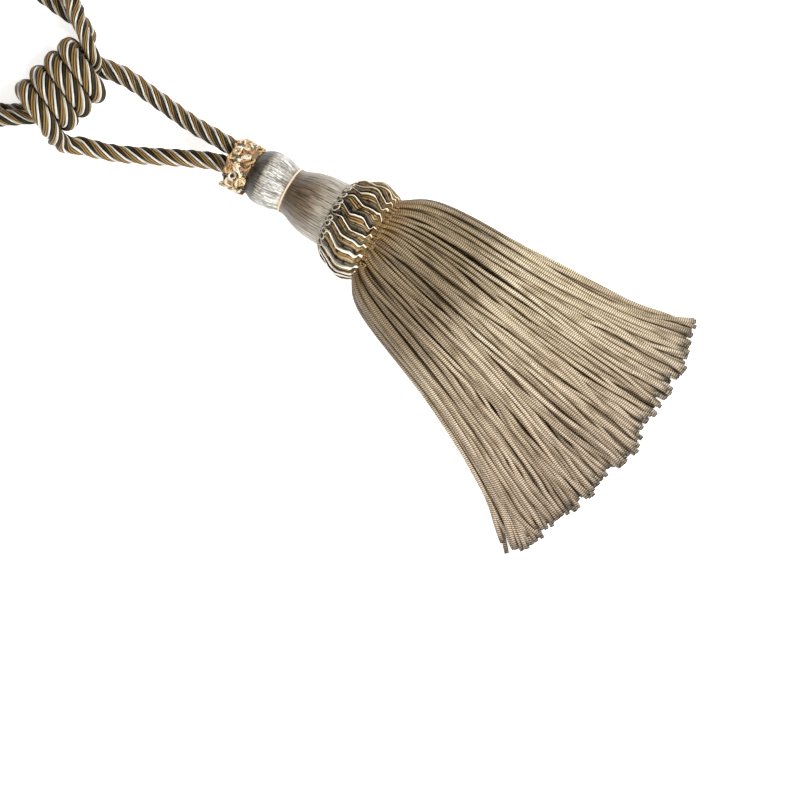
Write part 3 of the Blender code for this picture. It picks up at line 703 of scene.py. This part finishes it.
def curls(chance, count, reach, out):
    """Squiggles scattered round the neck: aside and along it each is the sum of two sine waves of
    its own sizes and starts, and it rises and sinks once on the way."""
    t = np.linspace(0.0, 2.3 * np.pi, 32)[None]
    middle = 2.0 * np.pi * (np.arange(count) + chance.uniform(-0.4, 0.4, count)) / count
    # the least and the most of each: reach aside, reach along, the fine wave and its speed
    wide, high, fine, fast = chance.uniform(
        (0.0013, 0.0012, 0.0001, 1.8), (0.0024, 0.0020, 0.0004, 2.7), (count, 4)
    ).T[:, :, None]
    begin = chance.uniform(0.0, 2.0 * np.pi, (5, count, 1))
    aside = wide * np.sin(t + begin[0]) + fine * np.sin(fast * t + begin[1])
    level = high * np.sin(1.15 * t + begin[2]) + fine * np.sin(fast * t + begin[3])
    middle_level = chance.uniform(*reach, count)[:, None]
    radius = out + 0.0010 * np.sin(0.8 * t + begin[4])
    angle = middle[:, None] + aside / radius
    return head_places(
        radius * np.cos(angle) - COLLAR_ASIDE, radius * np.sin(angle), middle_level + level
    )


def gimp(name, colour, crease_shade):
    """Wound gimp: a bright filament wrapped closely round a core, with a dark line a turn, which
    is painted shade in the crease between turns. It is drawn with 1.1 turns a millimetre, coarser
    than real gimp, so that the winding shows."""
    material, tree, shader, where = new_material(name)
    lay = add_node(tree, "ShaderNodeSeparateXYZ", links={0: where.outputs["UV"]})
    winding = add_node(
        tree, "ShaderNodeMath", operation="FRACT",
        links={
            0: add_node(
                tree, "ShaderNodeMath", operation="MULTIPLY_ADD", values={1: 1.1},
                links={0: lay.outputs["X"], 2: lay.outputs["Y"]},
            ).outputs[0]
        },
    )
    # filament colour, with painted shade at the crease once a turn
    tone = add_node(
        tree, "ShaderNodeValToRGB", links={0: winding.outputs[0]},
        stops=((0.0, crease_shade), (1.0, crease_shade), (0.25, colour), (0.8, colour)),
    )
    tree.links.new(tone.outputs[0], shader.inputs["Base Color"])
    shader.inputs["Roughness"].default_value = 0.4
    return material


cream_gimp = gimp("cream gimp", "#F0E6D0", "#8E7A56")
gold_gimp = gimp("gold gimp", "#CDAA74", "#6A4E26")
brown_gimp = gimp("orange brown gimp", "#B8875A", "#6A4828")
dark_gimp = gimp("olive brown gimp", "#6A5F4A", "#2A241A")
# height along the head's axis, radius
band = np.array([
    (0.0598, 0.0098), (0.0592, 0.0108), (0.0560, 0.0113), (0.0500, 0.0114), (0.0470, 0.0110),
    (0.0466, 0.0102),
])
collar = turned("collar_band", band, 96, gimp("wound band", "#8A7150", "#3A2A18"))
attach(collar, "root")
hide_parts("collar")
chance = np.random.default_rng(21)
for name, count, out, material in (
    ("dark", 22, 0.0117, dark_gimp), ("brown", 30, 0.0120, brown_gimp),
    ("gold", 38, 0.0123, gold_gimp), ("cream", 30, 0.0127, cream_gimp),
):
    lines = curls(chance, count, CURL_LEVELS, out)
    points, uv = cords_along(lines, CURL_RADIUS, 7, HEAD_UP)
    points[..., 2] = np.maximum(points[..., 2], 0.0)
    piece = surface(f"collar_curls_{name}", points, uv, material=material)
    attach(piece, "root")

# ------------------------------------------------------------------ ruff
# Domed ruff of twisted cords laid side by side over a padded ring, from small loops at the bell
# down to the mouth where the skirt comes out. Each cord is a bright cream ply, orange brown
# yarns and a dark olive ply; it steps sideways in three tiers and its cream ply ends in a hook.

RUFF_CORDS = 25
# a cord's coordinate at the mouth, about its millimetres over the dome
RUFF_LENGTH = 30.0
# height along the head's axis, radius over the cords
RUFF_OUTLINE = np.array([
    (-0.0016, 0.0170), (-0.0021, 0.0181), (-0.0031, 0.0194), (-0.0056, 0.0219), (-0.0090, 0.0243),
    (-0.0130, 0.0261), (-0.0175, 0.0267), (-0.0225, 0.0261), (-0.0258, 0.0246),
    (-0.0275, 0.0225), (-0.0268, 0.0200),
])
# phase across one cord against height of its relief, m
CORD_OUTLINE = np.array([
    (0.000, -0.0014), (0.025, -0.0003), (0.060, 0.0004), (0.110, 0.0004), (0.150, -0.0003),
    (0.180, -0.0014), (0.215, -0.0008), (0.260, -0.0002), (0.310, -0.0001), (0.345, -0.0006),
    (0.375, -0.0008), (0.410, -0.0003), (0.455, -0.0001), (0.500, -0.0004), (0.540, -0.0011),
    (0.580, -0.0006), (0.640, 0.0001), (0.710, 0.0003), (0.780, 0.0003), (0.850, 0.0001),
    (0.910, -0.0004), (0.960, -0.0010),
])
line = smooth_line(np.column_stack([RUFF_OUTLINE, np.zeros(len(RUFF_OUTLINE))]), 0.0005)
height, radius = line[:, 0], line[:, 1]
share = np.linspace(0.0, 1.0, len(line))[:, None]
phase = (np.arange(RUFF_CORDS)[:, None] + CORD_OUTLINE[None, :, 0]).ravel()[None]
raised = np.tile(CORD_OUTLINE[:, 1], RUFF_CORDS)[None]
turn = 2.0 * np.pi * phase / RUFF_CORDS
# a few values a cord, eased from one cord to the next
chance = np.random.default_rng(5)
own_wide, own_step, own_swell, own_hook = (
    np.interp(phase[0], np.arange(RUFF_CORDS + 1), np.append(row, row[0]))[None]
    for row in chance.uniform(-1.0, 1.0, (4, RUFF_CORDS))
)
# in cord pitches: the lean, the two steps in it, the hook at the mouth, the cords' own widths
steps = 2.0 * np.pi * (share - 0.12) / 0.45 + 1.5 * own_step
lean = (
    1.15 * share - (0.14 + 0.05 * own_swell) * (np.sin(steps) - np.sin(3.0 * steps) / 9.0)
    - (0.45 + 0.25 * own_hook) * np.clip((share - 0.78 - 0.03 * own_hook) / 0.06, 0.0, 1.0) ** 2
    + 0.26 * own_wide
)
swell = 0.0006 * np.sin(steps + 1.0) - 0.0005 + 0.0004 * own_swell
angle = turn + 2.0 * np.pi * lean / RUFF_CORDS
out = radius[:, None] + swell + raised
points = head_places(out * np.cos(angle), out * np.sin(angle), height[:, None])[::-1]
points[..., 2] = np.maximum(points[..., 2], 0.0)
phase, share = phase[0], share[:, 0]
around = np.repeat(np.append(phase, RUFF_CORDS)[None], len(line), axis=0)
down = np.repeat(share[:, None], len(phase) + 1, axis=1)[::-1]

# Couched viscose cord: a bright cream ply, orange brown yarns, a thin pale line and dark olive
# yarns, with a soft sheen; the creases between them are painted near black, a painted shade, and
# the dark olive yarns are painted lighter in their middle, a painted highlight. It turns golden
# in patches towards the mouth, and its filaments are drawn coarser than they are, so that they
# show. Phase runs once across a cord.
ruff_finish, tree, shader, where = new_material("couched viscose cord")
lay = add_node(tree, "ShaderNodeSeparateXYZ", links={0: where.outputs["UV"]})
phase_node = add_node(tree, "ShaderNodeMath", operation="FRACT", links={0: lay.outputs["Y"]})
# cord colours across a cord, with painted shade at the creases and a painted highlight on the
# dark olive yarns
cord_colour_and_shade = add_node(
    tree, "ShaderNodeValToRGB", links={0: phase_node.outputs[0]},
    stops=(
        (0.000, "#0A0805"), (1.000, "#0A0805"), (0.014, "#E8DDC2"), (0.040, "#FFFBF0"),
        (0.095, "#FFF4E0"), (0.125, "#CDBB92"), (0.150, "#4A3B26"), (0.190, "#6B5232"),
        (0.245, "#BC9A68"), (0.300, "#86673E"), (0.335, "#2A1B0C"), (0.375, "#967648"),
        (0.440, "#CBAB7A"), (0.500, "#5A4424"), (0.525, "#120D06"), (0.548, "#A8997A"),
        (0.575, "#C2B498"), (0.598, "#2A2216"), (0.630, "#332A1A"),
        (0.705, "#6E614A"), (0.780, "#4A3F2C"), (0.880, "#1C160C"), (0.965, "#0A0805"),
    ),
)
patches = add_node(
    tree, "ShaderNodeTexNoise", values={"Scale": 1.0, "Detail": 1.0},
    links={
        "Vector": add_node(
            tree, "ShaderNodeMapping", values={"Scale": (0.15, 1.3, 1.0)},
            links={"Vector": where.outputs["UV"]},
        ).outputs[0]
    },
)
toward_mouth = add_node(
    tree, "ShaderNodeMath", operation="MULTIPLY_ADD", values={1: 9.0},
    links={0: patches.outputs["Fac"], 2: lay.outputs["X"]},
)
golden = add_node(
    tree, "ShaderNodeMapRange",
    values={"From Min": 28.5, "From Max": 31.0, "To Min": 0.0, "To Max": 0.9},
    links={"Value": toward_mouth.outputs[0]},
)
off_cream = add_node(
    tree, "ShaderNodeValToRGB", links={0: phase_node.outputs[0]},
    stops=((0.0, "#000000"), (0.96, "#FFFFFF"), (0.13, "#000000"), (0.16, "#FFFFFF")),
)
patched = add_node(
    tree, "ShaderNodeMath", operation="MULTIPLY",
    links={0: golden.outputs[0], 1: off_cream.outputs[0]},
)
toned = add_node(
    tree, "ShaderNodeMix", data_type="RGBA", values={"B": linear("#6E5226")},
    links={"Factor": patched.outputs[0], "A": cord_colour_and_shade.outputs[0]},
)
# painted shade in short hollows where the yarns part
hollows = add_node(
    tree, "ShaderNodeTexNoise", values={"Scale": 1.0, "Detail": 1.0},
    links={
        "Vector": add_node(
            tree, "ShaderNodeMapping", values={"Scale": (0.42, 2.4, 1.0)},
            links={"Vector": where.outputs["UV"]},
        ).outputs[0]
    },
)
hollow_shade = add_node(
    tree, "ShaderNodeValToRGB", links={0: hollows.outputs["Fac"]},
    stops=((0.36, "#6A5E4A"), (0.47, "#FFFFFF")),
)
parted = add_node(
    tree, "ShaderNodeMix", data_type="RGBA", blend_type="MULTIPLY",
    links={
        "Factor": off_cream.outputs[0],
        "A": toned.outputs["Result"],
        "B": hollow_shade.outputs[0],
    },
)
tree.links.new(parted.outputs["Result"], shader.inputs["Base Color"])
yarns = add_node(
    tree, "ShaderNodeTexNoise", values={"Scale": 1.0, "Detail": 3.0, "Roughness": 0.65},
    links={
        "Vector": add_node(
            tree, "ShaderNodeMapping", values={"Scale": (0.35, 11.0, 1.0)},
            links={"Vector": where.outputs["UV"]},
        ).outputs[0]
    },
)
relief = add_node(
    tree, "ShaderNodeBump", values={"Strength": 0.8, "Distance": 0.0005},
    links={"Height": yarns.outputs["Fac"]},
)
tree.links.new(relief.outputs[0], shader.inputs["Normal"])
shader.inputs["Roughness"].default_value = 0.45
shader.inputs["Specular IOR Level"].default_value = 0.18
ruff = surface(
    "ruff_cords", points[None], np.stack([down * RUFF_LENGTH, around], axis=-1)[None],
    ruff_finish,
)
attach(ruff, "root")
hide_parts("ruff")

LOOP_RADIUS = 0.00038


def loops_round(chance, count, level, high, wide, raised):
    """Flat loops laid on the ruff: ellipses of a height and an angle each, some way off it."""
    t = np.linspace(0.0, 2.0 * np.pi, 21)[None]
    middle = 2.0 * np.pi * (np.arange(count) + chance.uniform(-0.3, 0.3, count))[:, None] / count
    size = chance.uniform(0.7, 1.2, (count, 1))
    angle = middle + wide * size * np.cos(t) + 0.3 * wide * np.sin(t)
    place = level + high * size * np.sin(t)
    out = np.interp(-place, -RUFF_OUTLINE[:-1, 0], RUFF_OUTLINE[:-1, 1]) + raised
    points, uv = cords_along(
        head_places(out * np.cos(angle), out * np.sin(angle), place), LOOP_RADIUS, 7, HEAD_UP
    )
    points[..., 2] = np.maximum(points[..., 2], 0.0)
    return points, uv


# count, height on the head's axis, half height, half width in radians, distance off the ruff
for name, finish, sizes in (
    ("rim", gimp("pale gimp", "#DDD5C4", "#5B5143"), (30, -0.0036, 0.0017, 0.080, 0.0003)),
    ("mouth", gimp("golden gimp", "#92784A", "#3A2E18"), (40, -0.0285, 0.0020, 0.030, -0.0016)),
):
    points, uv = loops_round(chance, *sizes)
    piece = surface(f"ruff_{name}_loops", points, uv, finish)
    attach(piece, "root")

# ------------------------------------------------------------------ skirt
# Cut skirt of knitted chainette, a fine tube of viscose yarn about two millimetres thick. The
# strands leave a packed round under the ruff, fan out and lie in a flat sheaf, with cut ends.

STRANDS_ACROSS = 76
STRAND_ROWS = 6
LOCKS = 30
# least distance of a strand's middle from the floor and from the top of the sheaf
STRAND_RADIUS = 0.00085
# half a strand's thickness at its root, and what it gains on the way to its end
STRAND_HALF = 0.00112
STRAND_GAIN = 0.00012
# every strand's coordinate at its end, about its length in millimetres
STRAND_END = 178.0
ROOT_RADIUS = 0.0206
ROOT_HEIGHT = -0.0235
# the curve of the cut line, and the x of its longest strand
END_ARC = 2.5
END_MIDDLE = 0.002
# y, centre x, half width, lowest z, thickness at the middle, thickness at the sides
SKIRT_SECTIONS = np.array([
    (-0.0425, 0.0030, 0.0335, 0.0020, 0.0380, 0.0260),
    (-0.1000, -0.0006, 0.0463, 0.0000, 0.0215, 0.0118),
    (-0.1500, -0.0056, 0.0604, 0.0000, 0.0160, 0.0090),
    (-0.1940, -0.0086, 0.0738, 0.0000, 0.0120, 0.0075),
])
# places where the upper strands part: x, from y to y, and how far they stand aside
PARTINGS = (
    (0.0107, -0.036, -0.076, 0.0013), (-0.0120, -0.060, -0.100, 0.0008),
    (0.0220, -0.078, -0.124, 0.0009), (-0.0300, -0.098, -0.150, 0.0010),
    (0.0050, -0.112, -0.160, 0.0009), (0.0360, -0.120, -0.172, 0.0009),
    (-0.0200, -0.140, -0.185, 0.0010), (-0.0480, -0.135, -0.175, 0.0009),
)
chance = np.random.default_rng(11)
across, row = np.meshgrid(np.arange(STRANDS_ACROSS), np.arange(STRAND_ROWS), indexing="ij")
across, row = across.ravel(), row.ravel()
count = len(across)
# mid runs from -1 at one side to 1 at the other, and odd rows stand aside from even ones
mid = across + 0.5 + 0.25 * (-1.0) ** row + chance.uniform(-0.3, 0.3, count)
mid = np.clip(-1.0 + 2.0 * mid / STRANDS_ACROSS, -0.995, 0.995)
level = (row + 0.5 + 0.42 * np.sin(2.399 * across * 2.0 + row)) / STRAND_ROWS
root_x = ROOT_RADIUS * 0.93 * mid
root_top = -np.sqrt(ROOT_RADIUS**2 - root_x**2) * (1.0 - 2.0 * level) * 0.97
roots = head_places(root_x, root_top, np.full(count, ROOT_HEIGHT))
# at the ends the strands gather in locks: each lock has a middle and a length of its own
lock_edges = np.linspace(-1.0, 1.0, LOCKS) + chance.uniform(-0.025, 0.025, LOCKS)
lock_edges = np.sort(np.append(lock_edges, 2.0))
lock = np.searchsorted(lock_edges, mid + 0.012 * np.sin(1.7 * row))
far_edge, near_edge = lock_edges[np.minimum(lock, LOCKS)], lock_edges[np.maximum(lock - 1, 0)]
lock_middle = np.clip(far_edge / 2.0 + near_edge / 2.0, -1.0, 1.0)
shorter = chance.uniform(-0.0024, 0.0034, LOCKS + 2)[lock]
shorter = shorter + chance.uniform(-0.0026, 0.0034, count)
sections = [roots]
for y, centre, half, lowest, thick, thin in SKIRT_SECTIONS:
    x = centre + half * mid
    depth = thick + (thin - thick) * mid**2
    z = lowest + STRAND_RADIUS + (depth - 2.0 * STRAND_RADIUS) * level
    cut = np.zeros(count)
    if y == SKIRT_SECTIONS[-1, 0]:
        cut = END_ARC * (x - END_MIDDLE) ** 2 + shorter
    sections.append(np.column_stack([x, y + cut, z]) - CENTRE)
sections = np.stack(sections, axis=1)


def fan(sections, rows):
    """Catmull-Rom curves through the sections of all strands at once, evenly spaced in t."""
    before = 2.0 * sections[:, :1] - sections[:, 1:2]
    after = 2.0 * sections[:, -1:] - sections[:, -2:-1]
    knots = np.concatenate([before, sections, after], axis=1)
    place = np.linspace(0.0, sections.shape[1] - 1.0001, rows)
    span = place.astype(int)
    t = (place - span)[None, :, None]
    return span_between(*(knots[:, span + k] for k in range(4)), t)


lines = fan(sections, 50)
run = np.linspace(0.0, 1.0, lines.shape[1])[None]
# strands draw together in locks that differ from row to row, and some drift across their lock
wander = np.zeros(run.shape)
for waves, reach in ((4.0, 0.0016), (9.0, 0.0013), (17.0, 0.0010), (29.0, 0.0006)):
    start, bend, step = (chance.uniform(*span) for span in ((0.0, 6.28), (2.0, 5.0), (0.5, 2.5)))
    wander = wander + reach * np.sin(
        waves * np.pi * mid[:, None] + bend * run + start + step * row[:, None]
    )
own = chance.uniform(-1.0, 1.0, (6, count, 1))
crossing = 0.0036 * own[0] * np.sin((7.0 + 3.0 * own[4]) * run + 3.2 * own[1])
crossing = crossing + 0.0006 * own[5] * np.sin(17.0 * run + 3.2 * own[3])
crossing = crossing * (1.0 - 0.6 * mid[:, None] ** 2) * np.clip(3.0 * run, 0.0, 1.0) ** 0.8
# towards their ends they swing less and gather in the locks, and one in ten strays
near_end = np.clip((run - 0.80) / 0.20, 0.0, 1.0)
calmer = 1.0 - 0.5 * np.clip((run - 0.85) / 0.15, 0.0, 1.0)
gather = SKIRT_SECTIONS[-1, 2] * (lock_middle - mid)[:, None] * 0.62 * near_end**1.5
stray = np.where(np.abs(own[2]) > 0.90, 0.0048, 0.0008) * own[3]
lines[..., 0] += (wander * run**0.7 + crossing) * calmer
lines[..., 2] += 0.0005 * own[3] * np.sin(13.0 * run + 3.2 * own[1]) * run**0.5
lines[..., 0] += gather + stray * near_end**2
for x, near, far, aside in PARTINGS:
    away = lines[..., 0] + CENTRE[0] - x
    place = (lines[..., 1] + CENTRE[1] - near) / (far - near)
    opened = np.sin(np.pi * np.clip(place, 0.0, 1.0)) ** 0.7
    upper = np.clip((level[:, None] - 0.35) / 0.3, 0.0, 1.0)
    push = aside * np.tanh(away / 0.0009) * np.exp(-((away / 0.005) ** 2))
    lines[..., 0] += push * opened * upper
points, uv = cords_along(lines, (STRAND_HALF + STRAND_GAIN * run)[0], 6, UP)
points[..., 2] = np.maximum(points[..., 2], 0.0)
# along: stretched so that all strands end at one value; around: the whole part says which strand
uv[..., 0] *= STRAND_END / uv[:, -1:, :, 0]
uv[..., 1] = 0.998 * uv[..., 1] + np.arange(count)[:, None, None]

# Viscose chainette: knitted in a fine tube, so that bright slanting stitches ring each strand,
# with painted shade in the gap between them. Along the strand it is golden brown under the ruff,
# a painted shade, painted shade over the first third of the skirt, then pale taupe, with painted
# shade at the cut ends. Every strand has a tone of its own. The stitches are drawn 1.2 mm long,
# coarser than real ones, so that they show.
chainette, tree, shader, where = new_material("viscose chainette")
lay = add_node(tree, "ShaderNodeSeparateXYZ", links={0: where.outputs["UV"]})
round_strand = add_node(
    tree, "ShaderNodeMath", operation="MULTIPLY", values={1: 0.7},
    links={
        0: add_node(
            tree, "ShaderNodeMath", operation="FRACT", links={0: lay.outputs["Y"]}
        ).outputs[0]
    },
)
stitch = add_node(
    tree, "ShaderNodeMath", operation="FRACT",
    links={
        0: add_node(
            tree, "ShaderNodeMath", operation="MULTIPLY_ADD", values={1: 0.86},
            links={0: lay.outputs["X"], 2: round_strand.outputs[0]},
        ).outputs[0]
    },
)
# stitch colour with painted shade in the gap between stitches; the same values raise the
# stitches' bump
stitch_colour_and_shade = add_node(
    tree, "ShaderNodeValToRGB", links={0: stitch.outputs[0]},
    stops=(
        (0.0, "#6C604A"), (1.0, "#6C604A"), (0.16, "#7C7159"), (0.36, "#EEE7D6"),
        (0.62, "#F8F2E5"), (0.84, "#BAAD91"),
    ),
)
strand_tone = add_node(
    tree, "ShaderNodeValToRGB",
    links={
        0: add_node(
            tree, "ShaderNodeTexWhiteNoise", noise_dimensions="1D",
            links={
                "W": add_node(
                    tree, "ShaderNodeMath", operation="FLOOR", links={0: lay.outputs["Y"]}
                ).outputs[0]
            },
        ).outputs["Value"]
    },
    stops=((0.0, "#CBC5BA"), (1.0, "#FFFFFF"), (0.3, "#E9E5DD")),
)
shaded = add_node(
    tree, "ShaderNodeMix", data_type="RGBA", blend_type="MULTIPLY", values={"Factor": 1.0},
    links={"A": stitch_colour_and_shade.outputs[0], "B": strand_tone.outputs[0]},
)
drift = add_node(
    tree, "ShaderNodeTexNoise", values={"Scale": 1.0, "Detail": 1.0},
    links={
        "Vector": add_node(
            tree, "ShaderNodeMapping", values={"Scale": (0.07, 1.7, 1.0)},
            links={"Vector": where.outputs["UV"]},
        ).outputs[0]
    },
)
drifted = add_node(
    tree, "ShaderNodeMix", data_type="RGBA", blend_type="MULTIPLY", values={"Factor": 1.0},
    links={
        "A": shaded.outputs["Result"],
        "B": add_node(
            tree, "ShaderNodeValToRGB", links={0: drift.outputs["Fac"]},
            stops=((0.30, "#C8C1B4"), (0.50, "#FFFFFF")),
        ).outputs[0],
    },
)
from_root = add_node(
    tree, "ShaderNodeMath", operation="DIVIDE", values={1: STRAND_END},
    links={0: lay.outputs["X"]},
)
# along each strand: golden brown painted shade under the ruff, painted shade over the first
# third, pale taupe, painted shade at the cut ends
along_colour_and_shade = add_node(
    tree, "ShaderNodeValToRGB", links={0: from_root.outputs[0]},
    stops=(
        (0.00, "#A27C3C"), (1.00, "#77736A"), (0.045, "#9C7E4A"), (0.10, "#A99A7E"),
        (0.30, "#AEA088"), (0.46, "#FAF3E4"), (0.70, "#FAF1E4"), (0.975, "#E2D8CE"),
        (0.993, "#9C968A"),
    ),
)
toned = add_node(
    tree, "ShaderNodeMix", data_type="RGBA", blend_type="MULTIPLY", values={"Factor": 1.0},
    links={"A": drifted.outputs["Result"], "B": along_colour_and_shade.outputs[0]},
)
# a little greyer and pinker towards one side of the skirt, at smaller x
place = add_node(tree, "ShaderNodeSeparateXYZ", links={0: where.outputs["Object"]})
aside = add_node(
    tree, "ShaderNodeMapRange", values={"From Min": -0.055, "From Max": 0.060},
    links={"Value": place.outputs["X"]},
)
greyer_to_one_side = add_node(
    tree, "ShaderNodeMix", data_type="RGBA", blend_type="MULTIPLY", values={"Factor": 1.0},
    links={
        "A": toned.outputs["Result"],
        "B": add_node(
            tree, "ShaderNodeValToRGB", links={0: aside.outputs[0]},
            stops=((0.0, "#F2EDF1"), (1.0, "#FFFFFF"), (0.5, "#F8F5F8")),
        ).outputs[0],
    },
)
tree.links.new(greyer_to_one_side.outputs["Result"], shader.inputs["Base Color"])
relief = add_node(
    tree, "ShaderNodeBump", values={"Strength": 0.8, "Distance": 0.0003},
    links={"Height": stitch_colour_and_shade.outputs[0]},
)
tree.links.new(relief.outputs[0], shader.inputs["Normal"])
shader.inputs["Roughness"].default_value = 0.42
third = count // 3
for k, name in enumerate(("left", "middle", "right")):
    part = slice(k * third, (k + 1) * third)
    piece = surface(f"skirt_strands_{name}", points[part], uv[part], chainette)
    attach(piece, "root")
    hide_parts("skirt")
